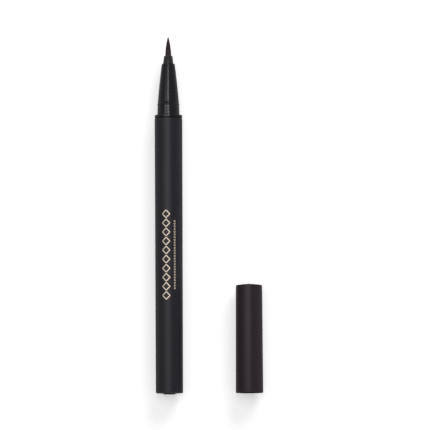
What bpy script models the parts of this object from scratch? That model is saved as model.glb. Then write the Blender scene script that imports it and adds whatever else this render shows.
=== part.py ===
"""Eyebrow pen with a brush nib, lying flat with its cap taken off beside it.

The pen lies along Y with its nib towards +Y, and the cap lies parallel at +X with its mouth towards -Y.
The origin is the middle of the whole part's box, on the surface that it lies on.
Every turned piece is an outline of (radius, distance along the axis) spun about Y.
"""

import math
import random

import bmesh
import bpy

MM = 0.001

# Sides of the turned pieces: the ones that show, and the ones inside.
OUTER_SIDES = 36
INNER_SIDES = 20
ARC_STEPS = 3
SHARP_ANGLE = math.radians(32)
WELD = 1e-7

# Gap between pieces that seat on or in each other.
GAP = 0.3 * MM
FINE_GAP = 0.15 * MM

# Barrel, from its tail end to its open front end.
BARREL_LENGTH = 99.27 * MM
BARREL_FRONT_R = 5.0 * MM
BARREL_TAIL_R = 4.9 * MM
BARREL_BORE_R = 4.0 * MM
BARREL_END_WALL = 1.2 * MM
BARREL_TAIL_EDGE = 0.35 * MM
BARREL_FRONT_EDGE = 0.1 * MM

# Tail plug: a boss through the end wall and a grooved disc inside.
BOSS_R = 2.2 * MM
BOSS_PROUD = 0.43 * MM
BOSS_EDGE = 0.2 * MM
PLUG_DISC_LENGTH = 4.0 * MM
GROOVE_WIDTH = 1.4 * MM
GROOVE_DEPTH = 0.9 * MM

# Front section: spigot, flange, neck, snap bead and cone.
SPIGOT_LENGTH = 6.0 * MM
FLANGE_R = 5.0 * MM
FLANGE_LENGTH = 0.95 * MM
FLANGE_EDGE = 0.25 * MM
NECK_LENGTH = 3.6 * MM
NECK_REAR_R = 4.03 * MM
NECK_FRONT_R = 3.9 * MM
BEAD_LENGTH = 0.6 * MM
BEAD_R = 3.99 * MM
CONE_LENGTH = 14.5 * MM
CONE_REAR_R = 3.86 * MM
CONE_FRONT_R = 2.36 * MM
CONE_CROWN = 0.09 * MM
CONE_EDGE = 0.15 * MM
CONE_STEPS = 5
FEED_BORE_R = 0.95 * MM

# Nib collar in the front of the cone.
COLLAR_SHOWN = 2.9 * MM
COLLAR_HELD = 5.0 * MM
COLLAR_REAR_R = 1.88 * MM
COLLAR_FRONT_R = 1.58 * MM
COLLAR_EDGE = 0.15 * MM
COLLAR_FLOOR = 1.2 * MM

# Bristles and the slice of backing that they are fused to.
NIB_SHOWN = 7.1 * MM
NIB_R = 1.04 * MM
NIB_SUNK = 0.4 * MM
NIB_ROW = 18
STRAND_MARGIN_SHARE = 0.16
BARE_CELL_SHARE = 0.3
DRAW_IN_SHARE = 0.62
OGIVE_POWER = 1.35
TIP_BLUNT_SHARE = 0.1
LENGTH_SPREAD_SHARE = 0.05
NIB_SEED = 7

# Feed wick and collector.
WICK_R = 0.6 * MM
COLLECTOR_LENGTH = 20.0 * MM
COLLECTOR_CORE_R = 1.6 * MM
FIN_THICKNESS = 1.1 * MM
FIN_COUNT = 8
CHAMBER_PLUG_LENGTH = 3.0 * MM

# Mixing ball, loose in the ink chamber.
BALL_R = 2.0 * MM

# Cap: shell and inner cap, measured from the mouth.
CAP_LENGTH = 38.8 * MM
CAP_MOUTH_R = 4.93 * MM
CAP_CLOSED_R = 4.75 * MM
CAP_DOME = 0.42 * MM
CAP_EDGE = 0.35 * MM
CAP_MOUTH_EDGE = 0.1 * MM
CAP_MOUTH_BORE_R = 4.25 * MM
CAP_MOUTH_DEPTH = 6.0 * MM
CAP_BORE_R = 4.08 * MM
CAP_END_WALL = 1.1 * MM
GATE_R = 0.4 * MM
GATE_PROUD = 0.12 * MM
DOME_STEPS = 3
INNER_CAP_MOUTH = 13.0 * MM
INNER_CAP_BORE_R = 3.05 * MM
INNER_CAP_DEPTH = 17.0 * MM
INNER_CAP_WALL = 0.9 * MM

# Distance between the axes of the pen and the cap where they lie.
AXIS_SPACING = 28.8 * MM

# Places along the pen's axis, from the boss's outer face.
BARREL_START = BOSS_PROUD
BARREL_END = BARREL_START + BARREL_LENGTH
FLANGE_START = BARREL_END + GAP
CONE_START = FLANGE_START + FLANGE_LENGTH + NECK_LENGTH + BEAD_LENGTH
CONE_END = CONE_START + CONE_LENGTH
COLLAR_END = CONE_END + COLLAR_SHOWN
PEN_LENGTH = COLLAR_END + NIB_SHOWN
COLLECTOR_END = FLANGE_START - SPIGOT_LENGTH - GAP
COLLECTOR_START = COLLECTOR_END - COLLECTOR_LENGTH
CHAMBER_END = COLLECTOR_START - GAP - CHAMBER_PLUG_LENGTH
CHAMBER_START = BARREL_START + BARREL_END_WALL + GAP + PLUG_DISC_LENGTH
INSERT_R = BARREL_BORE_R - GAP
COLLAR_BORE_R = NIB_R + FINE_GAP

# Place of the two axes in the part's frame.
PEN_X = (BARREL_FRONT_R - CAP_MOUTH_R - AXIS_SPACING) / 2
CAP_X = PEN_X + AXIS_SPACING
TAIL_Y = -PEN_LENGTH / 2
CAP_Y = TAIL_Y + BARREL_START
PEN_Z = BARREL_FRONT_R
CAP_Z = CAP_MOUTH_R


def clear_scene():
    """Removes what the file opened with."""
    for obj in list(bpy.data.objects):
        bpy.data.objects.remove(obj, do_unlink=True)


def material(name, colour, roughness, metallic=0.0):
    """A plain Principled material."""
    made = bpy.data.materials.new(name)
    made.use_nodes = True
    shader = made.node_tree.nodes["Principled BSDF"]
    shader.inputs["Base Color"].default_value = (*colour, 1.0)
    shader.inputs["Roughness"].default_value = roughness
    shader.inputs["Metallic"].default_value = metallic
    return made


def add_empty(name, place):
    """An empty that stands on the axis of the pieces under it."""
    empty = bpy.data.objects.new(name, None)
    bpy.context.scene.collection.objects.link(empty)
    empty.location = place
    return empty


def add_object(name, mesh_data, look, parent, along):
    """Places a bmesh as a named object on its parent's axis."""
    mesh = bpy.data.meshes.new(name)
    mesh_data.to_mesh(mesh)
    mesh_data.free()
    mesh.materials.append(look)
    mesh.shade_smooth()
    mesh.set_sharp_from_angle(angle=SHARP_ANGLE)
    obj = bpy.data.objects.new(name, mesh)
    bpy.context.scene.collection.objects.link(obj)
    obj.parent = parent
    obj.location = (0, along, 0)
    return obj


def round_edge(centre_r, centre_y, radius, start, end):
    """Points of a rounded edge, as angles in degrees from +radius towards +Y."""
    points = []
    for step in range(ARC_STEPS + 1):
        angle = math.radians(start + (end - start) * step / ARC_STEPS)
        points.append((centre_r + radius * math.cos(angle), centre_y + radius * math.sin(angle)))
    return points


def turned(outline, closed, sides):
    """Spins an outline about Y, starting under the axis. A closed outline makes a ring or a tube."""
    mesh_data = bmesh.new()
    verts = [mesh_data.verts.new((0, along, -radius)) for radius, along in outline]
    pairs = list(zip(verts, verts[1:]))
    if closed:
        pairs.append((verts[-1], verts[0]))
    edges = [mesh_data.edges.new(pair) for pair in pairs]
    bmesh.ops.spin(
        mesh_data,
        geom=verts + edges,
        cent=(0, 0, 0),
        axis=(0, 1, 0),
        angle=math.tau,
        steps=sides,
    )
    bmesh.ops.remove_doubles(mesh_data, verts=mesh_data.verts, dist=WELD)
    bmesh.ops.recalc_face_normals(mesh_data, faces=mesh_data.faces)
    return mesh_data


def groove(outline_r, start):
    """Points of a seal ring's groove in a wall of radius outline_r that begins at start."""
    floor = outline_r - GROOVE_DEPTH
    return [
        (outline_r, start),
        (floor, start),
        (floor, start + GROOVE_WIDTH),
        (outline_r, start + GROOVE_WIDTH),
    ]


def barrel(parent, look):
    """The outer tube, with an end wall that has a hole for the boss."""
    hole = BOSS_R + FINE_GAP
    outline = [(hole, 0)]
    outline += round_edge(BARREL_TAIL_R - BARREL_TAIL_EDGE, BARREL_TAIL_EDGE, BARREL_TAIL_EDGE, -90, 0)
    outline += [
        (BARREL_FRONT_R, BARREL_LENGTH - BARREL_FRONT_EDGE),
        (BARREL_FRONT_R - BARREL_FRONT_EDGE, BARREL_LENGTH),
        (BARREL_BORE_R, BARREL_LENGTH),
        (BARREL_BORE_R, BARREL_END_WALL),
        (hole, BARREL_END_WALL),
    ]
    return add_object("barrel", turned(outline, True, OUTER_SIDES), look, parent, BARREL_START)


def tail_plug(parent, look):
    """The plug in the tail: its boss stands a little proud of the barrel."""
    boss_length = BOSS_PROUD + BARREL_END_WALL + GAP
    groove_start = boss_length + (PLUG_DISC_LENGTH - GROOVE_WIDTH) / 2
    end = boss_length + PLUG_DISC_LENGTH
    outline = [(0, 0)]
    outline += round_edge(BOSS_R - BOSS_EDGE, BOSS_EDGE, BOSS_EDGE, -90, 0)
    outline += [(BOSS_R, boss_length), (INSERT_R, boss_length)]
    outline += groove(INSERT_R, groove_start)
    outline += [(INSERT_R, end), (0, end)]
    return add_object("tail_plug", turned(outline, False, INNER_SIDES), look, parent, 0)


def seal_ring(name, parent, look, groove_middle):
    """A rubber ring that lies in a groove and faces the barrel's bore."""
    floor = INSERT_R - GROOVE_DEPTH
    cord = (BARREL_BORE_R - floor) / 2 - FINE_GAP
    middle = (BARREL_BORE_R + floor) / 2
    points = 2 * (ARC_STEPS + 1)
    outline = []
    for step in range(points):
        angle = math.tau * step / points
        outline.append((middle + cord * math.cos(angle), cord * math.sin(angle)))
    return add_object(name, turned(outline, True, INNER_SIDES), look, parent, groove_middle)


def cone_radius(share):
    """Radius of the cone at a share of its length from its rear end, crowned a little."""
    straight = CONE_REAR_R + (CONE_FRONT_R - CONE_REAR_R) * share
    return straight + 4 * CONE_CROWN * share * (1 - share)


def front_section(parent, look):
    """Spigot, flange, neck, snap bead and cone, with a feed bore and a seat for the collar."""
    flange_front = SPIGOT_LENGTH + FLANGE_LENGTH
    bead_start = flange_front + NECK_LENGTH
    cone_start = bead_start + BEAD_LENGTH
    end = cone_start + CONE_LENGTH
    seat_r = COLLAR_REAR_R + FINE_GAP
    seat_start = end - COLLAR_HELD - GAP
    outline = [(FEED_BORE_R, 0), (INSERT_R, 0)]
    outline += groove(INSERT_R, (SPIGOT_LENGTH - GROOVE_WIDTH) / 2)
    outline.append((INSERT_R, SPIGOT_LENGTH))
    outline += [
        (FLANGE_R - BARREL_FRONT_EDGE, SPIGOT_LENGTH),
        (FLANGE_R, SPIGOT_LENGTH + BARREL_FRONT_EDGE),
    ]
    outline += round_edge(FLANGE_R - FLANGE_EDGE, flange_front - FLANGE_EDGE, FLANGE_EDGE, 0, 90)
    outline += [
        (NECK_REAR_R, flange_front),
        (NECK_FRONT_R, bead_start),
        (BEAD_R, bead_start + BEAD_LENGTH / 4),
        (BEAD_R, bead_start + BEAD_LENGTH * 3 / 4),
    ]
    for step in range(CONE_STEPS):
        share = step / CONE_STEPS
        outline.append((cone_radius(share), cone_start + CONE_LENGTH * share))
    outline += [
        (CONE_FRONT_R, end - CONE_EDGE),
        (CONE_FRONT_R - CONE_EDGE, end),
        (seat_r, end),
        (seat_r, seat_start),
        (FEED_BORE_R, seat_start),
    ]
    rear = FLANGE_START - SPIGOT_LENGTH
    return add_object("front_section", turned(outline, True, OUTER_SIDES), look, parent, rear)


def nib_collar(parent, look):
    """The tapered holder of the bristles, held in the cone's seat."""
    end = COLLAR_HELD + COLLAR_SHOWN
    outline = [
        (FEED_BORE_R, 0),
        (COLLAR_REAR_R, 0),
        (COLLAR_REAR_R, COLLAR_HELD),
    ]
    outline += round_edge(COLLAR_FRONT_R - COLLAR_EDGE, end - COLLAR_EDGE, COLLAR_EDGE, 0, 90)
    outline += [
        (COLLAR_BORE_R, end),
        (COLLAR_BORE_R, COLLAR_FLOOR),
        (FEED_BORE_R, COLLAR_FLOOR),
    ]
    start = CONE_END - COLLAR_HELD
    return add_object("nib_collar", turned(outline, True, INNER_SIDES), look, parent, start)


def bristle_height(reach):
    """Height at which a bristle rooted at a share of the bundle's radius leaves the pointed outline."""
    full = NIB_SHOWN + NIB_SUNK
    low, high = 0, full
    for _ in range(30):
        middle = (low + high) / 2
        outline = TIP_BLUNT_SHARE + (1 - TIP_BLUNT_SHARE) * (1 - (middle / full) ** OGIVE_POWER)
        inside = reach * (1 - DRAW_IN_SHARE * middle / full) < outline
        low, high = (middle, high) if inside else (low, middle)
    return low


def brush_nib(parent, look):
    """A pointed bundle of square bristles on a round slice of backing, all one body."""
    rng = random.Random(NIB_SEED)
    mesh_data = bmesh.new()
    bmesh.ops.create_grid(mesh_data, x_segments=NIB_ROW, y_segments=NIB_ROW, size=1)
    for vert in mesh_data.verts:
        x, z = vert.co.x, vert.co.y
        vert.co = (
            NIB_R * x * math.sqrt(1 - z * z / 2),
            0,
            NIB_R * z * math.sqrt(1 - x * x / 2),
        )
    cell = 2 * NIB_R / NIB_ROW
    # The four corner cells of the square are squeezed flat against the rim, and stay bare.
    top = [face for face in mesh_data.faces if face.calc_area() > cell * cell * BARE_CELL_SHARE]
    slice_length = COLLAR_HELD + COLLAR_SHOWN - COLLAR_FLOOR - GAP - NIB_SUNK
    rim = [edge for edge in mesh_data.edges if edge.is_boundary]
    wall = bmesh.ops.extrude_edge_only(mesh_data, edges=rim)["geom"]
    lower = [item for item in wall if isinstance(item, bmesh.types.BMVert)]
    for vert in lower:
        vert.co.y -= slice_length
    loop = [item for item in wall if isinstance(item, bmesh.types.BMEdge)]
    bmesh.ops.contextual_create(mesh_data, geom=loop)
    bmesh.ops.inset_individual(mesh_data, faces=top, thickness=cell * STRAND_MARGIN_SHARE)
    tips = bmesh.ops.extrude_discrete_faces(mesh_data, faces=top)["faces"]
    full = NIB_SHOWN + NIB_SUNK
    for face in tips:
        root = face.calc_center_median()
        reach = math.hypot(root.x, root.z) / NIB_R
        height = bristle_height(reach) * (1 - LENGTH_SPREAD_SHARE * rng.random() * reach)
        drawn = 1 - DRAW_IN_SHARE * height / full
        tip = (root.x * drawn, height, root.z * drawn)
        bmesh.ops.pointmerge(mesh_data, verts=list(face.verts), merge_co=tip)
    bmesh.ops.recalc_face_normals(mesh_data, faces=mesh_data.faces)
    return add_object("brush_nib", mesh_data, look, parent, COLLAR_END - NIB_SUNK)


def feed_wick(parent, look):
    """The fibre rod from the ink chamber's wall to the bristles' backing."""
    start = CHAMBER_END
    end = CONE_END - COLLAR_HELD + COLLAR_FLOOR
    outline = [(0, 0), (WICK_R, 0), (WICK_R, end - start), (0, end - start)]
    return add_object("feed_wick", turned(outline, False, INNER_SIDES), look, parent, start)


def ink_collector(parent, look):
    """The finned comb that holds spare ink around the wick."""
    pitch = COLLECTOR_LENGTH / FIN_COUNT
    outline = [(FEED_BORE_R, 0)]
    for fin in range(FIN_COUNT):
        start = fin * pitch
        outline += [
            (INSERT_R, start),
            (INSERT_R, start + FIN_THICKNESS),
            (COLLECTOR_CORE_R, start + FIN_THICKNESS),
            (COLLECTOR_CORE_R, start + pitch),
        ]
    outline.append((FEED_BORE_R, COLLECTOR_LENGTH))
    return add_object("ink_collector", turned(outline, True, INNER_SIDES), look, parent, COLLECTOR_START)


def chamber_plug(parent, look):
    """The wall between the ink chamber and the collector, bored for the wick."""
    outline = [
        (FEED_BORE_R, 0),
        (INSERT_R, 0),
        (INSERT_R, CHAMBER_PLUG_LENGTH),
        (FEED_BORE_R, CHAMBER_PLUG_LENGTH),
    ]
    return add_object("chamber_plug", turned(outline, True, INNER_SIDES), look, parent, CHAMBER_END)


def mixing_ball(parent, look):
    """The steel ball, at rest by the tail plug on the low side of the ink chamber."""
    mesh_data = bmesh.new()
    bmesh.ops.create_icosphere(mesh_data, subdivisions=2, radius=BALL_R)
    obj = add_object("mixing_ball", mesh_data, look, parent, CHAMBER_START + GAP + BALL_R)
    obj.location.z = BALL_R + GAP - BARREL_BORE_R
    return obj


def cap_shell(parent, look):
    """The outer cap, with a domed closed end and a small gate mark on it."""
    wall_end = CAP_LENGTH
    rim = CAP_CLOSED_R - CAP_EDGE
    outline = [
        (CAP_MOUTH_BORE_R, 0),
        (CAP_MOUTH_R - CAP_MOUTH_EDGE, 0),
        (CAP_MOUTH_R, CAP_MOUTH_EDGE),
    ]
    outline += round_edge(rim, wall_end - CAP_EDGE, CAP_EDGE, 0, 80)
    for step in range(1, DOME_STEPS):
        share = step / DOME_STEPS
        outline.append((rim * (1 - share), wall_end + CAP_DOME * math.sin(share * math.pi / 2)))
    gate_base = wall_end + CAP_DOME
    outline += [(GATE_R, gate_base), (GATE_R / 2, gate_base + GATE_PROUD), (0, gate_base + GATE_PROUD)]
    bore_end = CAP_LENGTH - CAP_END_WALL
    step_end = CAP_MOUTH_DEPTH + CAP_MOUTH_BORE_R - CAP_BORE_R
    outline += [(0, bore_end), (CAP_BORE_R, bore_end), (CAP_BORE_R, step_end)]
    outline.append((CAP_MOUTH_BORE_R, CAP_MOUTH_DEPTH))
    mesh_data = turned(outline, True, OUTER_SIDES)
    return add_object("cap_shell", mesh_data, look, parent, 0)


def inner_cap(parent, look):
    """The liner that seals on the cone, closed beyond the nib and open behind."""
    outer = CAP_BORE_R - GAP
    end = CAP_LENGTH - CAP_END_WALL - GAP - INNER_CAP_MOUTH
    web = INNER_CAP_DEPTH + INNER_CAP_WALL
    outline = [
        (0, INNER_CAP_DEPTH),
        (INNER_CAP_BORE_R, INNER_CAP_DEPTH),
        (INNER_CAP_BORE_R, 0),
        (outer, 0),
        (outer, end),
        (INNER_CAP_BORE_R, end),
        (INNER_CAP_BORE_R, web),
        (0, web),
    ]
    return add_object("inner_cap", turned(outline, False, INNER_SIDES), look, parent, INNER_CAP_MOUTH)


def main():
    """Makes every piece on its axis."""
    clear_scene()
    pen = add_empty("pen_axis", (PEN_X, TAIL_Y, PEN_Z))
    cap = add_empty("cap_axis", (CAP_X, CAP_Y, CAP_Z))
    barrel(pen, material("matte_black", (0.020, 0.019, 0.023), 0.5))
    tail_plug(pen, material("plug_black", (0.030, 0.028, 0.030), 0.4))
    rubber = material("seal_rubber", (0.012, 0.012, 0.012), 0.8)
    tail_middle = BARREL_START + BARREL_END_WALL + GAP + PLUG_DISC_LENGTH / 2
    seal_ring("tail_seal_ring", pen, rubber, tail_middle)
    front_section(pen, material("gloss_black", (0.017, 0.016, 0.018), 0.3))
    seal_ring("front_seal_ring", pen, rubber.copy(), FLANGE_START - SPIGOT_LENGTH / 2)
    nib_collar(pen, material("collar_black", (0.014, 0.013, 0.014), 0.4))
    brush_nib(pen, material("bristle_brown", (0.065, 0.038, 0.042), 0.6))
    feed_wick(pen, material("wick_fibre", (0.60, 0.55, 0.50), 0.9))
    ink_collector(pen, material("collector_white", (0.75, 0.75, 0.73), 0.4))
    chamber_plug(pen, material("chamber_plug_white", (0.70, 0.70, 0.68), 0.4))
    mixing_ball(pen, material("ball_steel", (0.60, 0.60, 0.61), 0.15, 1.0))
    cap_shell(cap, material("cap_black", (0.022, 0.020, 0.023), 0.35))
    inner_cap(cap, material("inner_cap_grey", (0.25, 0.25, 0.25), 0.45))


main()
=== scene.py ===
"""Dresses the packed eyebrow pen: a black pen with a brush nib, lying beside its cap."""

import math

import bmesh
import bpy
from mathutils import Matrix, Vector


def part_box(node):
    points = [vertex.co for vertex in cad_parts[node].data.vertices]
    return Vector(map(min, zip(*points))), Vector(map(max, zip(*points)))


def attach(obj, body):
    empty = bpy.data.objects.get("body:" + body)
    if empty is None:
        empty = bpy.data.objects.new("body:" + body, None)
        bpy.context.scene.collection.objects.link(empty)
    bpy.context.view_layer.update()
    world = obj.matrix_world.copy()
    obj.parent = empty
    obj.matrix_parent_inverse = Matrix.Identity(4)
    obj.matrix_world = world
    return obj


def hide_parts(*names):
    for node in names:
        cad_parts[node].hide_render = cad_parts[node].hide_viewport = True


bl_info = {
    "name": "Eyebrow Pen",
    "version": (1, 0, 0),
    "blender": (4, 5, 0),
    "location": "View3D > Sidebar > Eyebrow Pen",
    "description": "Makes the finished pieces of an eyebrow pen and its stage",
    "category": "Object",
}

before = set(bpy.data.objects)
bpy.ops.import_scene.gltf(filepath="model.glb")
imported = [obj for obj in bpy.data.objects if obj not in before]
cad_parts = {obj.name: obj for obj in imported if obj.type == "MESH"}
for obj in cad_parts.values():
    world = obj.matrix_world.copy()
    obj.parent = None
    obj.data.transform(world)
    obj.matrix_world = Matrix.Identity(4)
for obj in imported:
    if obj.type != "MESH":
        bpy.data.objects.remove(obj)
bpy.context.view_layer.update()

MM = 0.001

# Steps round a turned piece, along a rounded edge and along the cone's side.
SIDES = 144
ARC_STEPS = 8
CONE_STEPS = 3 * ARC_STEPS

# Points nearer than this are one point, and faces that meet at more than this keep a hard edge.
WELD = 1e-7
SHARP_ANGLE = math.radians(34)


def axis_of(node):
    """Middle of a lying turned node across its axis, as (x, z)."""
    low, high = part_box(node)
    return ((low[0] + high[0]) / 2, (low[2] + high[2]) / 2)


def ends_of(node):
    """Rear and front end of a node along the pen."""
    low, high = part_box(node)
    return low[1], high[1]


PEN_AXIS = axis_of("barrel")
CAP_AXIS = axis_of("cap_shell")
BARREL_ENDS = ends_of("barrel")
PLUG_ENDS = ends_of("tail_plug")
FRONT_ENDS = ends_of("front_section")
COLLAR_ENDS = ends_of("nib_collar")
NIB_ENDS = ends_of("brush_nib")
CAP_ENDS = ends_of("cap_shell")
INNER_ENDS = ends_of("inner_cap")


def length(name, default, description):
    """A length property shown in the sidebar."""
    return bpy.props.FloatProperty(
        name=name, default=default, description=description, unit="LENGTH", precision=5, min=0.0
    )


def count(name, default, least, description):
    """A whole number shown in the sidebar."""
    return bpy.props.IntProperty(name=name, default=default, min=least, description=description)


def factor(name, default, description):
    """A bare factor shown in the sidebar."""
    return bpy.props.FloatProperty(name=name, default=default, min=0.0, description=description)


def hex_colour(name, default, description):
    """An sRGB hex value shown in the sidebar."""
    return bpy.props.StringProperty(name=name, default=default, description=description)


class PenSizes(bpy.types.PropertyGroup):
    """Sizes of the pen's own pieces."""

    barrel_front: length("Barrel front radius", 5.0 * MM, "Outer radius at the open end")
    barrel_tail: length("Barrel tail radius", 4.9 * MM, "Outer radius at the tail end")
    barrel_bore: length("Barrel bore", 4.0 * MM, "Inner radius")
    boss: length("Boss radius", 2.2 * MM, "Radius of the tail boss")
    insert: length("Insert radius", 3.7 * MM, "Radius of what slides into the barrel")
    flange: length("Flange radius", 5.0 * MM, "Radius of the front section's flange")
    neck_rear: length("Neck rear radius", 4.03 * MM, "Radius of the neck at the flange")
    neck_front: length("Neck front radius", 3.9 * MM, "Radius of the neck at the bead")
    bead: length("Bead radius", 4.0 * MM, "Radius of the snap bead")
    cone_rear: length("Cone rear radius", 3.86 * MM, "Radius of the cone at the bead")
    cone_front: length("Cone front radius", 2.36 * MM, "Radius of the cone at the collar")
    cone_crown: length("Cone crown", 0.09 * MM, "How far the cone swells past a straight line")
    collar_rear: length("Collar rear radius", 1.88 * MM, "Radius of the collar at the cone")
    collar_front: length("Collar front radius", 1.58 * MM, "Radius of the collar at the bristles")
    wick_bore: length("Wick bore", 0.95 * MM, "Radius of the hole that the wick passes through")


class NibSizes(bpy.types.PropertyGroup):
    """Sizes of the bundle of bristles."""

    bundle: length("Bundle radius", 1.1 * MM, "Radius of the bundle at the collar")
    bristle: length("Bristle radius", 0.026 * MM, "Radius of one bristle at its root")
    sunk: length("Sunk", 0.4 * MM, "How deep the bristles start in the collar")
    bristles: count("Bristles", 900, 50, "How many bristles")
    seed: count("Seed", 4, 0, "Seed of the bristles' uneven lengths")
    point: factor("Point", 0.1, "Share of the bundle's spread that is left at the tip")
    ogive: factor("Ogive", 1.9, "How late the bundle draws in, where 1 gives a plain cone")
    stagger: factor("Stagger", 0.22, "How unevenly the outer bristles end, as a share of their length")


class CapSizes(bpy.types.PropertyGroup):
    """Sizes of the cap's own pieces."""

    mouth: length("Mouth radius", 4.93 * MM, "Outer radius at the mouth")
    closed: length("Closed end radius", 4.75 * MM, "Outer radius at the closed end")
    mouth_bore: length("Mouth bore", 4.25 * MM, "Inner radius at the mouth")
    bore: length("Bore", 4.08 * MM, "Inner radius past the mouth")
    end_wall: length("End wall", 1.1 * MM, "Thickness of the closed end")
    edge: length("Edge", 0.35 * MM, "Rounding of the closed end")
    dome: length("Dome", 0.42 * MM, "How far the closed end bulges")


class FoilSizes(bpy.types.PropertyGroup):
    """Sizes of the foil ornament on the barrel."""

    middle: length("Middle", 49.6 * MM, "Distance of its middle from the barrel's tail end")
    thickness: length("Thickness", 0.04 * MM, "Thickness of the foil, part of it pressed into the coat")
    raised: length("Raised", 0.01 * MM, "How far the middle of the foil's thickness stands off the barrel")
    links: count("Links", 10, 1, "Lozenges in the chain")
    link_pitch: length("Link pitch", 3.27 * MM, "From one lozenge of the chain to the next")
    link_width: length("Link width", 2.7 * MM, "Width of a lozenge of the chain")
    link_height: length("Link height", 2.8 * MM, "Height of a lozenge of the chain")
    link_stroke: length("Link stroke", 0.34 * MM, "Width of the chain's line")
    beads: count("Beads", 26, 1, "Lozenges in the fine row")
    bead_pitch: length("Bead pitch", 0.97 * MM, "From one lozenge of the fine row to the next")
    bead_width: length("Bead width", 0.72 * MM, "Width of a lozenge of the fine row")
    bead_height: length("Bead height", 0.62 * MM, "Height of a lozenge of the fine row")
    bead_stroke: length("Bead stroke", 0.15 * MM, "Width of the fine row's line")


class PenColours(bpy.types.PropertyGroup):
    """Colours as sRGB hex values."""

    barrel: hex_colour("Barrel", "#1a171f", "Colour of the barrel's coat")
    tail: hex_colour("Tail", "#3a393c", "Colour of the tail plug")
    front: hex_colour("Front section", "#151218", "Colour of the front section")
    collar: hex_colour("Collar", "#1c1b1c", "Colour of the nib collar")
    bristle: hex_colour("Bristle", "#35282c", "Colour of the bristles")
    foil: hex_colour("Foil", "#f3ddc6", "Colour of the foil")
    cap: hex_colour("Cap", "#271d25", "Colour of the cap's shell")
    liner: hex_colour("Liner", "#6a6a6b", "Colour of the inner cap")


def linear(hex_value):
    """An sRGB hex value as linear red, green, blue and alpha."""
    channels = [int(hex_value[i : i + 2], 16) / 255 for i in (1, 3, 5)]
    made = [c / 12.92 if c <= 0.04045 else ((c + 0.055) / 1.055) ** 2.4 for c in channels]
    return (*made, 1.0)


def add_node(tree, kind, settings=None, links=None):
    """Adds a node, sets its settings, and sets or links its inputs. A node gives its first output."""
    made = tree.nodes.new(kind)
    for key, value in (settings or {}).items():
        setattr(made, key, value)
    for key, value in (links or {}).items():
        if isinstance(value, bpy.types.Node):
            value = value.outputs[0]
        if isinstance(value, bpy.types.NodeSocket):
            tree.links.new(value, made.inputs[key])
        else:
            made.inputs[key].default_value = value
    return made


# These sockets share their names with those for other kinds of data, so they go by number.
MIX_SHARE, MIX_LOW, MIX_HIGH, MIX_OUT = 0, 6, 7, 2
RANDOM_LEAST, RANDOM_MOST, RANDOM_OUT = 2, 3, 1

# Every grain is finer on the real pen, and is drawn this coarse so that it shows.
# The sheen changes slowly along a piece, from a little glossier to a little duller.
GRAIN_DETAIL = 3.0
SHEEN_CHANGE_MM = 6
SHEEN_DETAIL = 2.0
GLOSSIER = 0.04
DULLER = 0.05


def grained(
    name, colour, lift, rough, grain_mm, depth_mm, stretch=(1, 1, 1), metallic=0.0, shine=0.5
):
    """A surface with a fine relief, whose tone goes from colour to lift where its grain rises."""
    made = bpy.data.materials.new(name)
    made.use_nodes = True
    tree = made.node_tree
    tree.nodes.clear()
    place = add_node(tree, "ShaderNodeTexCoord").outputs["Object"]
    place = add_node(tree, "ShaderNodeMapping", links={"Vector": place, "Scale": stretch})
    grain = add_node(
        tree,
        "ShaderNodeTexNoise",
        links={"Vector": place, "Scale": 1 / (grain_mm * MM), "Detail": GRAIN_DETAIL},
    ).outputs["Fac"]
    slow = add_node(
        tree,
        "ShaderNodeTexNoise",
        links={"Vector": place, "Scale": 1 / (SHEEN_CHANGE_MM * MM), "Detail": SHEEN_DETAIL},
    ).outputs["Fac"]
    relief = add_node(
        tree, "ShaderNodeBump", links={"Height": grain, "Distance": depth_mm * MM, "Strength": 1.0}
    )
    sheen = add_node(
        tree,
        "ShaderNodeMapRange",
        links={"Value": slow, "To Min": rough - GLOSSIER, "To Max": rough + DULLER},
    )
    tone = add_node(
        tree,
        "ShaderNodeMix",
        {"data_type": "RGBA"},
        {MIX_SHARE: grain, MIX_LOW: linear(colour), MIX_HIGH: linear(lift)},
    )
    shader = add_node(
        tree,
        "ShaderNodeBsdfPrincipled",
        links={
            "Base Color": tone.outputs[MIX_OUT],
            "Roughness": sheen.outputs["Result"],
            "Normal": relief.outputs["Normal"],
            "Metallic": metallic,
            "Specular IOR Level": shine,
        },
    )
    add_node(tree, "ShaderNodeOutputMaterial", links={"Surface": shader})
    return made


def soft_touch_abs(colours):
    """Soft-touch coated ABS: a rubbery coat that scatters the light to a wide dull band."""
    return grained(
        "soft_touch_abs", colours.barrel, lift="#1f1b25", rough=0.46, grain_mm=0.16, depth_mm=0.004
    )


def moulded_tail_abs(colours):
    """Bare moulded ABS: a greyer, plainer disc in the coated barrel's end."""
    return grained(
        "moulded_tail_abs", colours.tail, lift="#434245", rough=0.36, grain_mm=0.2, depth_mm=0.003
    )


def polished_pp(colours):
    """Moulded polypropylene off a polished tool: a narrow, clear highlight with faint draw marks."""
    return grained(
        "polished_polypropylene",
        colours.front,
        lift="#1a161e",
        rough=0.2,
        grain_mm=0.2,
        depth_mm=0.0012,
        stretch=(1, 0.15, 1),
    )


def collar_pom(colours):
    """Moulded acetal: a waxy black, a little rough where the bristles were set."""
    return grained(
        "moulded_collar_pom", colours.collar, lift="#343334", rough=0.34, grain_mm=0.3, depth_mm=0.012
    )


def dyed_filament(colours):
    """Dyed PBT filament: a tone that runs along the bristles and differs between them."""
    return grained(
        "dyed_pbt_filament",
        colours.bristle,
        lift="#4c3d41",
        rough=0.42,
        grain_mm=0.09,
        depth_mm=0.002,
        stretch=(1, 0.06, 1),
    )


def hot_foil(colours):
    """Hot-stamped foil: a thin bright metal skin, slightly uneven where the die pressed it.

    It is only partly metallic, because a full metal would mirror the dim world and look dark.
    """
    return grained(
        "hot_stamped_foil",
        colours.foil,
        lift="#fbeedd",
        rough=0.4,
        grain_mm=0.25,
        depth_mm=0.003,
        metallic=0.3,
    )


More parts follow.
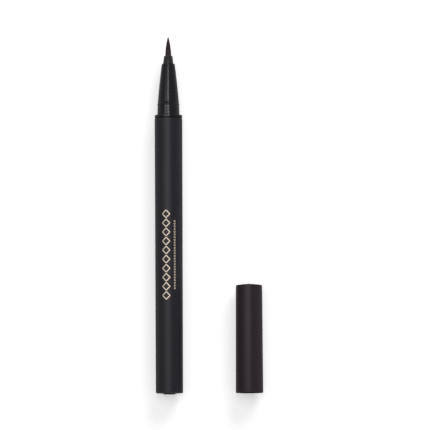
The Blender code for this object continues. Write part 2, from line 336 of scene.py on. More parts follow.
def satin_abs(colours):
    """Moulded ABS off a satin tool: an even dark face, with less shine than the other plastics."""
    return grained(
        "satin_abs",
        colours.cap,
        lift="#2f242d",
        rough=0.42,
        grain_mm=0.18,
        depth_mm=0.0025,
        shine=0.36,
    )


def liner_hdpe(colours):
    """Moulded polyethylene: a soft, waxy grey inside the cap."""
    return grained(
        "moulded_hdpe", colours.liner, lift="#767677", rough=0.42, grain_mm=0.3, depth_mm=0.003
    )


def nitrile_rubber():
    """Moulded nitrile rubber: a dull black."""
    return grained(
        "moulded_nitrile_rubber", "#1a1a1a", lift="#242424", rough=0.62, grain_mm=0.2, depth_mm=0.004
    )


def natural_pp():
    """Moulded polypropylene without dye: a milky white with a mild gloss."""
    return grained(
        "moulded_natural_pp", "#dcdcd6", lift="#e6e6e0", rough=0.38, grain_mm=0.25, depth_mm=0.002
    )


def bonded_fibre():
    """Bonded fibre soaked with ink: a dull, streaky brown along the wick."""
    return grained(
        "bonded_fibre",
        "#6b4c4c",
        lift="#8a6a66",
        rough=0.85,
        grain_mm=0.12,
        depth_mm=0.02,
        stretch=(1, 0.1, 1),
    )


def ground_steel():
    """Ground steel: a bright, sharp reflection."""
    return grained(
        "ground_steel",
        "#c4c5c8",
        lift="#cfd0d2",
        rough=0.14,
        grain_mm=0.3,
        depth_mm=0.0005,
        metallic=1.0,
    )


def place_mesh(name, mesh):
    """Shades a finished mesh and links it as an object at the origin."""
    mesh.shade_smooth()
    mesh.set_sharp_from_angle(angle=SHARP_ANGLE)
    made = bpy.data.objects.new(name, mesh)
    bpy.context.scene.collection.objects.link(made)
    return made


def mesh_object(name, mesh_data, look):
    """An object from a finished bmesh."""
    mesh = bpy.data.meshes.new(name)
    mesh_data.to_mesh(mesh)
    mesh_data.free()
    mesh.materials.append(look)
    return place_mesh(name, mesh)


def turned(name, outline, closed, axis, look):
    """Spins an outline of (radius, place along Y) about an axis at (x, z)."""
    mesh_data = bmesh.new()
    verts = [mesh_data.verts.new((0, along, -radius)) for radius, along in outline]
    pairs = list(zip(verts, verts[1:]))
    if closed:
        pairs.append((verts[-1], verts[0]))
    edges = [mesh_data.edges.new(pair) for pair in pairs]
    bmesh.ops.spin(
        mesh_data, geom=verts + edges, cent=(0, 0, 0), axis=(0, 1, 0), angle=math.tau, steps=SIDES
    )
    bmesh.ops.remove_doubles(mesh_data, verts=mesh_data.verts, dist=WELD)
    bmesh.ops.recalc_face_normals(mesh_data, faces=mesh_data.faces)
    bmesh.ops.translate(mesh_data, verts=mesh_data.verts, vec=(axis[0], 0, axis[1]))
    return mesh_object(name, mesh_data, look)


def round_edge(centre_r, centre_y, radius, start, end):
    """Points of a rounded edge, between two angles in degrees from +radius towards +Y."""
    points = []
    for step in range(ARC_STEPS + 1):
        angle = math.radians(start + (end - start) * step / ARC_STEPS)
        points.append((centre_r + radius * math.cos(angle), centre_y + radius * math.sin(angle)))
    return points


WHOLE_INPUTS = ("Count", "Seed")


def node_group(name, inputs):
    """A geometry node tree with named inputs, which are floats but for the whole ones."""
    tree = bpy.data.node_groups.new(name, "GeometryNodeTree")
    tree.interface.new_socket("Geometry", in_out="OUTPUT", socket_type="NodeSocketGeometry")
    for label in inputs:
        kind = "NodeSocketInt" if label in WHOLE_INPUTS else "NodeSocketFloat"
        tree.interface.new_socket(label, in_out="INPUT", socket_type=kind)
    return tree, add_node(tree, "NodeGroupInput").outputs


def finish_tree(tree, geometry, look):
    """Realizes the instances, sets the material and joins the output."""
    real = add_node(tree, "GeometryNodeRealizeInstances", links={"Geometry": geometry})
    dressed = add_node(tree, "GeometryNodeSetMaterial", links={"Geometry": real, "Material": look})
    add_node(tree, "NodeGroupOutput", links={"Geometry": dressed})


def from_nodes(name, tree, values, place):
    """Runs a geometry node tree with the given inputs and keeps its result as a plain mesh."""
    host = bpy.data.objects.new(name + "_host", bpy.data.meshes.new(name + "_host"))
    bpy.context.scene.collection.objects.link(host)
    modifier = host.modifiers.new("Nodes", "NODES")
    modifier.node_group = tree
    for item in tree.interface.items_tree:
        if item.item_type == "SOCKET" and item.in_out == "INPUT":
            modifier[item.identifier] = values[item.name]
    ready = host.evaluated_get(bpy.context.evaluated_depsgraph_get())
    mesh = bpy.data.meshes.new_from_object(ready)
    bpy.data.objects.remove(host, do_unlink=True)
    mesh.name = name
    mesh.transform(Matrix.Translation(place))
    return place_mesh(name, mesh)


# Short words for the nodes that the trees' sums and places are made of.
MATH = "ShaderNodeMath"
JOIN_XYZ = "ShaderNodeCombineXYZ"
SPLIT_XYZ = "ShaderNodeSeparateXYZ"
ADD = {"operation": "ADD"}
SUBTRACT = {"operation": "SUBTRACT"}
MULTIPLY = {"operation": "MULTIPLY"}
DIVIDE = {"operation": "DIVIDE"}
POWER = {"operation": "POWER"}
SQUARE_ROOT = {"operation": "SQRT"}
SINE = {"operation": "SINE"}
COSINE = {"operation": "COSINE"}

# Each root turns by the golden angle from the last, which spaces them evenly over the disc.
GOLDEN_TURN = math.pi * (3 - math.sqrt(5))
BRISTLE_POINTS = 9
BRISTLE_SIDES = 5
# A bristle loses this share of its own radius by its tip.
TAPER_SHARE = 0.8
# Even the longest of the outermost bristles falls short by this share of the stagger.
LEAST_STAGGER_SHARE = 0.35


def sunflower_roots(tree, given, index, ring):
    """Points on a sunflower spiral, from the middle of the bundle outwards."""
    radius = add_node(tree, MATH, MULTIPLY, {0: ring, 1: given["Radius"]})
    turn = add_node(tree, MATH, MULTIPLY, {0: index, 1: GOLDEN_TURN})
    cosine = add_node(tree, MATH, COSINE, {0: turn})
    sine = add_node(tree, MATH, SINE, {0: turn})
    root_x = add_node(tree, MATH, MULTIPLY, {0: radius, 1: cosine})
    root_z = add_node(tree, MATH, MULTIPLY, {0: radius, 1: sine})
    root = add_node(tree, JOIN_XYZ, links={"X": root_x, "Z": root_z})
    return add_node(tree, "GeometryNodePoints", links={"Count": given["Count"], "Position": root})


def uneven_reach(tree, given, index, ring):
    """Scale of each bristle: full length in the middle, and less at random towards the outside."""
    chance = add_node(
        tree,
        "FunctionNodeRandomValue",
        {"data_type": "FLOAT"},
        {RANDOM_LEAST: 0.0, RANDOM_MOST: 1.0, "ID": index, "Seed": given["Seed"]},
    )
    outer = add_node(tree, MATH, POWER, {0: ring, 1: 2.0})
    most = add_node(tree, MATH, MULTIPLY, {0: outer, 1: given["Stagger"]})
    part = add_node(tree, MATH, ADD, {0: LEAST_STAGGER_SHARE, 1: chance.outputs[RANDOM_OUT]})
    lack = add_node(tree, MATH, MULTIPLY, {0: most, 1: part})
    reach = add_node(tree, MATH, SUBTRACT, {0: 1.0, 1: lack})
    return add_node(tree, JOIN_XYZ, links={"X": 1.0, "Y": reach, "Z": 1.0})


def drawn_in(tree, given):
    """Each point's place in the brush, which draws in slowly at first and then to its point."""
    where = add_node(tree, "GeometryNodeInputPosition")
    where = add_node(tree, SPLIT_XYZ, links={"Vector": where}).outputs
    up = add_node(tree, MATH, POWER, {0: where["Y"], 1: given["Ogive"]})
    lost_at_tip = add_node(tree, MATH, SUBTRACT, {0: 1.0, 1: given["Point"]})
    lost = add_node(tree, MATH, MULTIPLY, {0: up, 1: lost_at_tip})
    left = add_node(tree, MATH, SUBTRACT, {0: 1.0, 1: lost})
    x = add_node(tree, MATH, MULTIPLY, {0: where["X"], 1: left})
    y = add_node(tree, MATH, MULTIPLY, {0: where["Y"], 1: given["Length"]})
    z = add_node(tree, MATH, MULTIPLY, {0: where["Z"], 1: left})
    return add_node(tree, JOIN_XYZ, links={"X": x, "Y": y, "Z": z})


def bristle_tree(look):
    """Bristles rooted on a sunflower spiral, drawn in together to a pointed brush."""
    inputs = ("Count", "Radius", "Length", "Bristle Radius", "Point", "Ogive", "Stagger", "Seed")
    tree, given = node_group("Bristles", inputs)
    index = add_node(tree, "GeometryNodeInputIndex")
    middle = add_node(tree, MATH, ADD, {0: index, 1: 0.5})
    disc_share = add_node(tree, MATH, DIVIDE, {0: middle, 1: given["Count"]})
    ring = add_node(tree, MATH, SQUARE_ROOT, {0: disc_share})
    roots = sunflower_roots(tree, given, index, ring)
    reach = uneven_reach(tree, given, index, ring)
    line = add_node(tree, "GeometryNodeCurvePrimitiveLine", links={"End": (0, 1, 0)})
    line = add_node(
        tree, "GeometryNodeResampleCurve", links={"Curve": line, "Count": BRISTLE_POINTS}
    )
    placed = add_node(
        tree,
        "GeometryNodeInstanceOnPoints",
        links={"Points": roots, "Instance": line, "Scale": reach},
    )
    real = add_node(tree, "GeometryNodeRealizeInstances", links={"Geometry": placed})
    bent = add_node(
        tree, "GeometryNodeSetPosition", links={"Geometry": real, "Position": drawn_in(tree, given)}
    )
    along = add_node(tree, "GeometryNodeSplineParameter").outputs["Factor"]
    lost = add_node(tree, MATH, MULTIPLY, {0: along, 1: TAPER_SHARE})
    taper = add_node(tree, MATH, SUBTRACT, {0: 1.0, 1: lost})
    profile = add_node(
        tree,
        "GeometryNodeCurvePrimitiveCircle",
        links={"Resolution": BRISTLE_SIDES, "Radius": given["Bristle Radius"]},
    )
    tubes = add_node(
        tree,
        "GeometryNodeCurveToMesh",
        links={"Curve": bent, "Profile Curve": profile, "Scale": taper, "Fill Caps": True},
    )
    finish_tree(tree, tubes, look)
    return tree


# Points along one lozenge's line, which bends round the barrel between them.
LOZENGE_POINTS = 32
# A square stood on its corner is this many times as wide as its side.
CORNER_WIDTH = math.sqrt(2)


def lozenge_band(tree, given):
    """One open lozenge, flat on the X and Y plane."""
    square = add_node(
        tree,
        "GeometryNodeCurvePrimitiveQuadrilateral",
        {"mode": "RECTANGLE"},
        {"Width": 1.0, "Height": 1.0},
    )
    corner_up = add_node(
        tree, "GeometryNodeTransform", links={"Geometry": square, "Rotation": (0, 0, math.pi / 4)}
    )
    wide = add_node(tree, MATH, MULTIPLY, {0: given["Width"], 1: 1 / CORNER_WIDTH})
    high = add_node(tree, MATH, MULTIPLY, {0: given["Height"], 1: 1 / CORNER_WIDTH})
    scale = add_node(tree, JOIN_XYZ, links={"X": wide, "Y": high, "Z": 1.0})
    line = add_node(tree, "GeometryNodeTransform", links={"Geometry": corner_up, "Scale": scale})
    line = add_node(
        tree, "GeometryNodeResampleCurve", links={"Curve": line, "Count": LOZENGE_POINTS}
    )
    profile = add_node(
        tree,
        "GeometryNodeCurvePrimitiveQuadrilateral",
        {"mode": "RECTANGLE"},
        {"Width": given["Stroke"], "Height": given["Thickness"]},
    )
    return add_node(
        tree, "GeometryNodeCurveToMesh", links={"Curve": line, "Profile Curve": profile}
    )


def wrapped_round(tree, given):
    """Each point's place on the barrel: its X runs round the surface, and its Z stands off it."""
    where = add_node(tree, "GeometryNodeInputPosition")
    where = add_node(tree, SPLIT_XYZ, links={"Vector": where}).outputs
    angle = add_node(tree, MATH, DIVIDE, {0: where["X"], 1: given["Radius"]})
    radius = add_node(tree, MATH, ADD, {0: given["Radius"], 1: where["Z"]})
    sine = add_node(tree, MATH, SINE, {0: angle})
    cosine = add_node(tree, MATH, COSINE, {0: angle})
    x = add_node(tree, MATH, MULTIPLY, {0: radius, 1: sine})
    z = add_node(tree, MATH, MULTIPLY, {0: radius, 1: cosine})
    return add_node(tree, JOIN_XYZ, links={"X": x, "Y": where["Y"], "Z": z})


def lozenge_tree(look):
    """A row of open lozenges, centred on its middle and wrapped round a cylinder along Y."""
    inputs = ("Count", "Pitch", "Width", "Height", "Stroke", "Thickness", "Offset", "Radius")
    tree, given = node_group("Lozenge Row", inputs)
    gaps = add_node(tree, MATH, SUBTRACT, {0: given["Count"], 1: 1.0})
    back = add_node(tree, MATH, MULTIPLY, {0: gaps, 1: -0.5})
    start_y = add_node(tree, MATH, MULTIPLY, {0: back, 1: given["Pitch"]})
    start = add_node(tree, JOIN_XYZ, links={"X": given["Offset"], "Y": start_y})
    step = add_node(tree, JOIN_XYZ, links={"Y": given["Pitch"]})
    row = add_node(
        tree,
        "GeometryNodeMeshLine",
        links={"Count": given["Count"], "Start Location": start, "Offset": step},
    )
    placed = add_node(
        tree,
        "GeometryNodeInstanceOnPoints",
        links={"Points": row, "Instance": lozenge_band(tree, given)},
    )
    real = add_node(tree, "GeometryNodeRealizeInstances", links={"Geometry": placed})
    bent = add_node(
        tree,
        "GeometryNodeSetPosition",
        links={"Geometry": real, "Position": wrapped_round(tree, given)},
    )
    finish_tree(tree, bent, look)
    return tree


def barrel_outline(sizes):
    """Outline of the barrel: an open front end, and an end wall with a hole for the tail boss."""
    rear, front = BARREL_ENDS
    tail_edge = 0.35 * MM
    front_edge = 0.12 * MM
    wall = 1.2 * MM
    boss_clearance = 0.15 * MM
    hole = sizes.boss + boss_clearance
    outline = [(hole, rear)]
    outline += round_edge(sizes.barrel_tail - tail_edge, rear + tail_edge, tail_edge, -90, 0)
    outline += round_edge(sizes.barrel_front - front_edge, front - front_edge, front_edge, 0, 90)
    outline += [(sizes.barrel_bore, front), (sizes.barrel_bore, rear + wall), (hole, rear + wall)]
    return outline


class PEN_OT_barrel(bpy.types.Operator):
    """Make the barrel tube"""

    bl_idname = "pen.barrel"
    bl_label = "Barrel"

    def execute(self, context):
        look = soft_touch_abs(context.scene.pen_colours)
        outline = barrel_outline(context.scene.pen_sizes)
        piece = turned("barrel_tube", outline, True, PEN_AXIS, look)
        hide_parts("barrel")
        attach(piece, "pen")
        return {"FINISHED"}


def tail_outline(sizes):
    """Outline of the tail plug: its dished boss in the barrel's end, and its grooved disc inside."""
    rear, front = PLUG_ENDS
    edge = 0.2 * MM
    dish = 0.06 * MM
    dish_floor_share = 0.62
    dish_rim_share = 0.7
    boss = 1.93 * MM
    groove_start = 1.3 * MM
    groove_end = 2.7 * MM
    groove_depth = 0.9 * MM
    groove_rear = rear + boss + groove_start
    groove_front = rear + boss + groove_end
    outline = [(0, rear + dish), (sizes.boss * dish_floor_share, rear + dish)]
    outline.append((sizes.boss * dish_rim_share, rear))
    outline += round_edge(sizes.boss - edge, rear + edge, edge, -90, 0)
    outline += [(sizes.boss, rear + boss), (sizes.insert, rear + boss)]
    outline += [(sizes.insert, groove_rear), (sizes.insert - groove_depth, groove_rear)]
    outline += [(sizes.insert - groove_depth, groove_front), (sizes.insert, groove_front)]
    outline += [(sizes.insert, front), (0, front)]
    return outline


class PEN_OT_tail(bpy.types.Operator):
    """Make the tail plug with its boss"""

    bl_idname = "pen.tail"
    bl_label = "Tail plug"

    def execute(self, context):
        look = moulded_tail_abs(context.scene.pen_colours)
        outline = tail_outline(context.scene.pen_sizes)
        piece = turned("tail_boss", outline, False, PEN_AXIS, look)
        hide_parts("tail_plug")
        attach(piece, "pen")
        return {"FINISHED"}


def bead_side(sizes, rear, bead_length):
    """The snap bead's side, swelling from the neck and falling to the cone."""
    points = []
    for step in range(ARC_STEPS + 1):
        share = step / ARC_STEPS
        base = sizes.neck_front + (sizes.cone_rear - sizes.neck_front) * share
        swell = (sizes.bead - base) * math.sin(math.pi * share)
        points.append((base + swell, rear + bead_length * share))
    return points


def cone_side(sizes, rear, cone_length):
    """The cone's side between its ends, crowned by a parabola."""
    points = []
    for step in range(1, CONE_STEPS):
        share = step / CONE_STEPS
        straight = sizes.cone_rear + (sizes.cone_front - sizes.cone_rear) * share
        crown = 4 * sizes.cone_crown * share * (1 - share)
        points.append((straight + crown, rear + cone_length * share))
    return points


def front_outline(sizes):
    """Outline of the front section: spigot, flange, neck, bead and cone, with the collar's seat."""
    rear, front = FRONT_ENDS
    spigot = 6.0 * MM
    flange = 0.95 * MM
    neck = 3.6 * MM
    bead = 0.6 * MM
    groove = 1.4 * MM
    groove_depth = 0.9 * MM
    flange_edge = 0.25 * MM
    fillet = 0.12 * MM
    tip_edge = flange_edge / 2
    tip_lean_degrees = 10
    collar_clearance = 0.15 * MM
    collar_held = 5.3 * MM
    groove_rear = rear + (spigot - groove) / 2
    groove_front = groove_rear + groove
    groove_floor = sizes.insert - groove_depth
    flange_rear = rear + spigot
    flange_front = flange_rear + flange
    bead_rear = flange_front + neck
    cone_rear = bead_rear + bead
    seat = sizes.collar_rear + collar_clearance
    outline = [(sizes.wick_bore, rear), (sizes.insert, rear), (sizes.insert, groove_rear)]
    outline += [(groove_floor, groove_rear), (groove_floor, groove_front)]
    outline += [(sizes.insert, groove_front), (sizes.insert, flange_rear)]
    outline += round_edge(sizes.flange - fillet, flange_rear + fillet, fillet, -90, 0)
    outline += round_edge(sizes.flange - flange_edge, flange_front - flange_edge, flange_edge, 0, 90)
    outline += round_edge(sizes.neck_rear + fillet, flange_front + fillet, fillet, 270, 180)
    outline.append((sizes.neck_front, bead_rear - fillet))
    outline += bead_side(sizes, bead_rear, bead)
    outline += cone_side(sizes, cone_rear, front - cone_rear)
    outline += round_edge(
        sizes.cone_front - tip_edge, front - tip_edge, tip_edge, tip_lean_degrees, 90
    )
    outline += [(seat, front), (seat, front - collar_held), (sizes.wick_bore, front - collar_held)]
    return outline


class PEN_OT_front(bpy.types.Operator):
    """Make the front section: flange, neck, bead and cone"""

    bl_idname = "pen.front"
    bl_label = "Front section"

    def execute(self, context):
        look = polished_pp(context.scene.pen_colours)
        outline = front_outline(context.scene.pen_sizes)
        piece = turned("front_cone", outline, True, PEN_AXIS, look)
        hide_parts("front_section")
        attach(piece, "pen")
        return {"FINISHED"}


def collar_outline(sizes, nib):
    """Outline of the collar: a straight part held in the cone, a taper, and a lip at the bristles."""
    rear, front = COLLAR_ENDS
    edge = 0.15 * MM
    lip = 0.5 * MM
    held = 5.0 * MM
    floor = 1.2 * MM
    shoulder_length = 0.3 * MM
    shoulder_depth = 0.03 * MM
    lip_line_depth = 0.06 * MM
    nib_clearance = 0.15 * MM
    mouth = nib.bundle + nib_clearance
    lip_rear = front - lip
    outline = [(sizes.wick_bore, rear), (sizes.collar_rear, rear), (sizes.collar_rear, rear + held)]
    outline.append((sizes.collar_rear - shoulder_depth, rear + held + shoulder_length))
    outline.append((sizes.collar_front + shoulder_depth, lip_rear - edge))
    outline.append((sizes.collar_front - lip_line_depth, lip_rear))
    outline += round_edge(sizes.collar_front - edge, front - edge, edge, 0, 90)
    outline += [(mouth, front), (mouth, rear + floor), (sizes.wick_bore, rear + floor)]
    return outline


class PEN_OT_collar(bpy.types.Operator):
    """Make the collar that holds the bristles"""

    bl_idname = "pen.collar"
    bl_label = "Nib collar"

    def execute(self, context):
        look = collar_pom(context.scene.pen_colours)
        outline = collar_outline(context.scene.pen_sizes, context.scene.nib_sizes)
        piece = turned("collar_tip", outline, True, PEN_AXIS, look)
        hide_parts("nib_collar")
        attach(piece, "pen")
        return {"FINISHED"}


class PEN_OT_bristles(bpy.types.Operator):
    """Make the brush of bristles"""

    bl_idname = "pen.bristles"
    bl_label = "Bristles"

    def execute(self, context):
        nib = context.scene.nib_sizes
        root = COLLAR_ENDS[1] - nib.sunk
        look = dyed_filament(context.scene.pen_colours)
        values = {
            "Count": nib.bristles,
            "Radius": nib.bundle - nib.bristle,
            "Length": NIB_ENDS[1] - root,
            "Bristle Radius": nib.bristle,
            "Point": nib.point,
            "Ogive": nib.ogive,
            "Stagger": nib.stagger,
            "Seed": nib.seed,
        }
        place = Vector((PEN_AXIS[0], root, PEN_AXIS[1]))
        piece = from_nodes("bristle_bundle", bristle_tree(look), values, place)
        plug = [(0, NIB_ENDS[0]), (nib.bundle, NIB_ENDS[0]), (nib.bundle, root), (0, root)]
        backing = turned("bristle_root", plug, False, PEN_AXIS, look)
        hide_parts("brush_nib")
        for made in (piece, backing):
            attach(made, "pen")
        return {"FINISHED"}


# How far each row lies to the right of the barrel's top line.
CHAIN_OFFSET = -0.95 * MM
FINE_ROW_OFFSET = 2.2 * MM


class PEN_OT_foil(bpy.types.Operator):
    """Make the foil ornament on the barrel"""

    bl_idname = "pen.foil"
    bl_label = "Foil ornament"

    def execute(self, context):
        sizes = context.scene.pen_sizes
        foil = context.scene.foil_sizes
        tree = lozenge_tree(hot_foil(context.scene.pen_colours))
        rear, front = BARREL_ENDS
        share = foil.middle / (front - rear)
        radius = sizes.barrel_tail + (sizes.barrel_front - sizes.barrel_tail) * share
        place = Vector((PEN_AXIS[0], rear + foil.middle, PEN_AXIS[1]))
        skin = {"Thickness": foil.thickness, "Radius": radius + foil.raised}
        chain = {
            "Count": foil.links,
            "Pitch": foil.link_pitch,
            "Width": foil.link_width,
            "Height": foil.link_height,
            "Stroke": foil.link_stroke,
            "Offset": CHAIN_OFFSET,
        }
        fine_row = {
            "Count": foil.beads,
            "Pitch": foil.bead_pitch,
            "Width": foil.bead_width,
            "Height": foil.bead_height,
            "Stroke": foil.bead_stroke,
            "Offset": FINE_ROW_OFFSET,
        }
        for name, values in (("foil_chain", chain), ("foil_fine_row", fine_row)):
            piece = from_nodes(name, tree, values | skin, place)
            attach(piece, "pen")
        return {"FINISHED"}


def cap_outline(sizes):
    """Outline of the cap's shell: a stepped bore, and a domed end with the mark of its gate."""
    rear, front = CAP_ENDS
    gate_radius = 0.4 * MM
    gate_height = 0.12 * MM
    mouth_depth = 6.0 * MM
    mouth_edge = 0.14 * MM
    dome_start_degrees = 78
    dome_steps = 2 * ARC_STEPS
    side = front - gate_height - sizes.dome
    rim = sizes.closed - sizes.edge
    outline = round_edge(sizes.mouth_bore + mouth_edge, rear + mouth_edge, mouth_edge, 180, 270)
    outline += round_edge(sizes.mouth - mouth_edge, rear + mouth_edge, mouth_edge, -90, 0)
    outline += round_edge(rim, side - sizes.edge, sizes.edge, 0, dome_start_degrees)
    for step in range(1, dome_steps):
        share = step / dome_steps
        outline.append((rim * (1 - share), side + sizes.dome * math.sin(share * math.pi / 2)))
    outline = [point for point in outline if point[0] > gate_radius or point[1] < side]
    outline += [(gate_radius, side + sizes.dome), (gate_radius / 2, front), (0, front)]
    bore_end = side - sizes.end_wall
    step_end = rear + mouth_depth + sizes.mouth_bore - sizes.bore
    outline += [(0, bore_end), (sizes.bore, bore_end), (sizes.bore, step_end)]
    outline.append((sizes.mouth_bore, rear + mouth_depth))
    return outline


def liner_outline(sizes):
    """Outline of the inner cap: a cup over the nib, and a skirt behind it up to the cap's end."""
    rear, front = INNER_ENDS
    clearance = 0.3 * MM
    bore = 3.05 * MM
    depth = 17.0 * MM
    web = 0.9 * MM
    lip = 0.2 * MM
    outer = sizes.bore - clearance
    outline = [(0, rear + depth), (bore, rear + depth)]
    outline += round_edge(bore + lip, rear + lip, lip, 180, 270)
    outline += round_edge(outer - lip, rear + lip, lip, -90, 0)
    outline += [(outer, front), (bore, front), (bore, rear + depth + web), (0, rear + depth + web)]
    return outline


class PEN_OT_cap(bpy.types.Operator):
    """Make the cap's shell and its inner cap"""

    bl_idname = "pen.cap"
    bl_label = "Cap"

    def execute(self, context):
        sizes = context.scene.cap_sizes
        colours = context.scene.pen_colours
        shell = turned("cap_tube", cap_outline(sizes), True, CAP_AXIS, satin_abs(colours))
        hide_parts("cap_shell")
        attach(shell, "cap")
        liner = turned("inner_liner", liner_outline(sizes), False, CAP_AXIS, liner_hdpe(colours))
        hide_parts("inner_cap")
        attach(liner, "cap")
        return {"FINISHED"}


class PEN_OT_inside(bpy.types.Operator):
    """Give the packed inner pieces their materials"""

    bl_idname = "pen.inside"
    bl_label = "Inner pieces"

    def execute(self, context):
        rubber = nitrile_rubber()
        natural = natural_pp()
        looks = {
            "tail_seal_ring": rubber,
            "front_seal_ring": rubber,
            "feed_wick": bonded_fibre(),
            "ink_collector": natural,
            "chamber_plug": natural,
            "mixing_ball": ground_steel(),
        }
        for name, look in looks.items():
            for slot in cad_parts[name].material_slots:
                slot.material = look
        return {"FINISHED"}


AIM = Vector((0, 0, PEN_AXIS[1]))


def area_lamp(name, place, size, watts):
    """A soft rectangular lamp that faces the pen."""
    data = bpy.data.lights.new(name, "AREA")
    data.shape = "RECTANGLE"
    data.size, data.size_y = size
    data.energy = watts
    lamp = bpy.data.objects.new(name, data)
    bpy.context.scene.collection.objects.link(lamp)
    lamp.location = place
    lamp.rotation_euler = (AIM - Vector(place)).to_track_quat("-Z", "Y").to_euler()
    return lamp


def add_lamps():
    """The key throws the shadows and leaves no highlight, and the others draw the highlights."""
    key = area_lamp("key", place=(0.42, 0.98, 0.7), size=(0.7, 0.5), watts=7.0)
    key.visible_glossy = False
    area_lamp("overhead", place=(-0.33, 0.1, 1.15), size=(0.42, 1.1), watts=2.2)
    area_lamp("strip", place=(-0.05, 0.36, 1.15), size=(0.04, 0.4), watts=1.2)
    area_lamp("near_fill", place=(0.0, -0.95, 0.3), size=(0.8, 0.3), watts=0.7)
    area_lamp("right_edge", place=(0.95, 0.0, 0.25), size=(0.2, 0.7), watts=0.2)


# The photograph's frame, in its pixels, and what one of them is at the pen.
PHOTO_SIDE_PX = 430
MM_PER_PX = 0.3610
PEN_AXIS_PX = 168.8
TAIL_PX = 393.4
CAMERA_ELEVATION = math.radians(84.8)
CAMERA_DISTANCE = 1.449
CAMERA_ROLL = math.radians(0.27)
SENSOR_MM = 36.0
FARTHEST_SEEN = 20


def add_camera():
    """The camera, nearly straight above, with a long lens."""
    half = PHOTO_SIDE_PX / 2
    x = PEN_AXIS[0] + (half - PEN_AXIS_PX) * MM_PER_PX * MM
    y = PLUG_ENDS[0] + (TAIL_PX - half) * MM_PER_PX * MM / math.sin(CAMERA_ELEVATION)
    aim = Vector((x, y, PEN_AXIS[1]))
    away = Vector((0, -math.cos(CAMERA_ELEVATION), math.sin(CAMERA_ELEVATION)))
    data = bpy.data.cameras.new("camera")
    data.sensor_width = SENSOR_MM
    data.lens = SENSOR_MM * CAMERA_DISTANCE / (PHOTO_SIDE_PX * MM_PER_PX * MM)
    data.clip_end = FARTHEST_SEEN
    camera = bpy.data.objects.new("camera", data)
    bpy.context.scene.collection.objects.link(camera)
    camera.location = aim + away * CAMERA_DISTANCE
    turn = (-away).to_track_quat("-Z", "Y").to_matrix().to_4x4()
    camera.rotation_euler = (turn @ Matrix.Rotation(-CAMERA_ROLL, 4, "Z")).to_euler()
    bpy.context.scene.camera = camera


WHITE = (1, 1, 1, 1)
PAPER = (0.93, 0.93, 0.93, 1)
PAPER_GLOW = 0.445
# What the plastics get back from the paper, so that they don't turn grey from below.
DIMMER_PAPER = (0.62, 0.62, 0.63, 1)
FLOOR_HALF = 3.0
FLOOR_CELLS = 2


def coated_white_paper():
    """White coated paper: a flat white that takes soft shadows."""
    made = bpy.data.materials.new("coated_white_paper")
    made.use_nodes = True
    tree = made.node_tree
    tree.nodes.clear()
    paper = add_node(tree, "ShaderNodeBsdfDiffuse", links={"Color": PAPER})
    glow = add_node(tree, "ShaderNodeEmission", links={"Color": WHITE, "Strength": PAPER_GLOW})
    both = add_node(tree, "ShaderNodeAddShader", links={0: paper, 1: glow})
    dimmer = add_node(tree, "ShaderNodeBsdfDiffuse", links={"Color": DIMMER_PAPER})
    path = add_node(tree, "ShaderNodeLightPath")
    seen = add_node(
        tree,
        "ShaderNodeMixShader",
        links={0: path.outputs["Is Camera Ray"], 1: dimmer, 2: both},
    )
    add_node(tree, "ShaderNodeOutputMaterial", links={"Surface": seen})
    return made


def add_floor():
    """The paper that the pen and the cap lie on."""
    mesh_data = bmesh.new()
    bmesh.ops.create_grid(mesh_data, x_segments=FLOOR_CELLS, y_segments=FLOOR_CELLS, size=FLOOR_HALF)
    floor = mesh_object("floor", mesh_data, coated_white_paper())


# How bright the world is as light, and how bright the camera sees it.
AMBIENT = 0.26
BACKDROP = 1.0


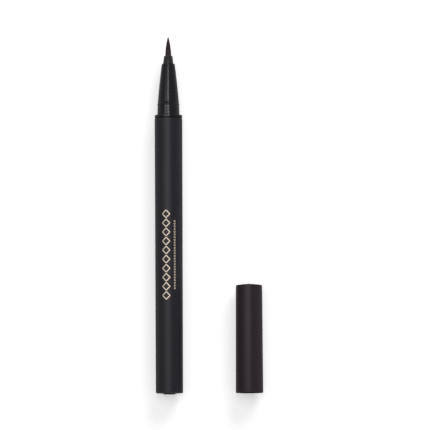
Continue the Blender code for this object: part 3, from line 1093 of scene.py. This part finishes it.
def set_world(scene):
    """A white world that lights the pen dimly."""
    world = scene.world or bpy.data.worlds.new("world")
    scene.world = world
    world.use_nodes = True
    tree = world.node_tree
    tree.nodes.clear()
    path = add_node(tree, "ShaderNodeLightPath")
    level = add_node(
        tree,
        "ShaderNodeMapRange",
        links={"Value": path.outputs["Is Camera Ray"], "To Min": AMBIENT, "To Max": BACKDROP},
    )
    sky = add_node(tree, "ShaderNodeBackground", links={"Color": WHITE, "Strength": level})
    add_node(tree, "ShaderNodeOutputWorld", links={"Surface": sky})


class PEN_OT_stage(bpy.types.Operator):
    """Make the floor, the lamps, the world and the camera"""

    bl_idname = "pen.stage"
    bl_label = "Stage"

    def execute(self, context):
        context.scene.view_settings.view_transform = "Standard"
        set_world(context.scene)
        add_floor()
        add_lamps()
        add_camera()
        return {"FINISHED"}


OPERATORS = (
    PEN_OT_stage,
    PEN_OT_barrel,
    PEN_OT_tail,
    PEN_OT_front,
    PEN_OT_collar,
    PEN_OT_bristles,
    PEN_OT_foil,
    PEN_OT_cap,
    PEN_OT_inside,
)


class PEN_PT_panel(bpy.types.Panel):
    """The pen's sizes, colours and pieces, in the sidebar"""

    bl_idname = "PEN_PT_panel"
    bl_label = "Eyebrow Pen"
    bl_space_type = "VIEW_3D"
    bl_region_type = "UI"
    bl_category = "Eyebrow Pen"

    def draw(self, context):
        for name, kind in GROUPS.items():
            box = self.layout.box()
            box.label(text=kind.__doc__)
            for key in kind.__annotations__:
                box.prop(getattr(context.scene, name), key)
        for kind in OPERATORS:
            self.layout.operator(kind.bl_idname)


GROUPS = {
    "pen_sizes": PenSizes,
    "nib_sizes": NibSizes,
    "cap_sizes": CapSizes,
    "foil_sizes": FoilSizes,
    "pen_colours": PenColours,
}


def register():
    """Registers the classes and hangs the property groups on the scene."""
    for kind in (*GROUPS.values(), *OPERATORS, PEN_PT_panel):
        bpy.utils.register_class(kind)
    for name, kind in GROUPS.items():
        setattr(bpy.types.Scene, name, bpy.props.PointerProperty(type=kind))


def unregister():
    """Takes the property groups and the classes away again."""
    for name in GROUPS:
        delattr(bpy.types.Scene, name)
    for kind in reversed((*GROUPS.values(), *OPERATORS, PEN_PT_panel)):
        bpy.utils.unregister_class(kind)


def main():
    """Makes the stage and every piece."""
    register()
    for kind in OPERATORS:
        group, name = kind.bl_idname.split(".")
        getattr(getattr(bpy.ops, group), name)()


if __name__ == "__main__":
    main()
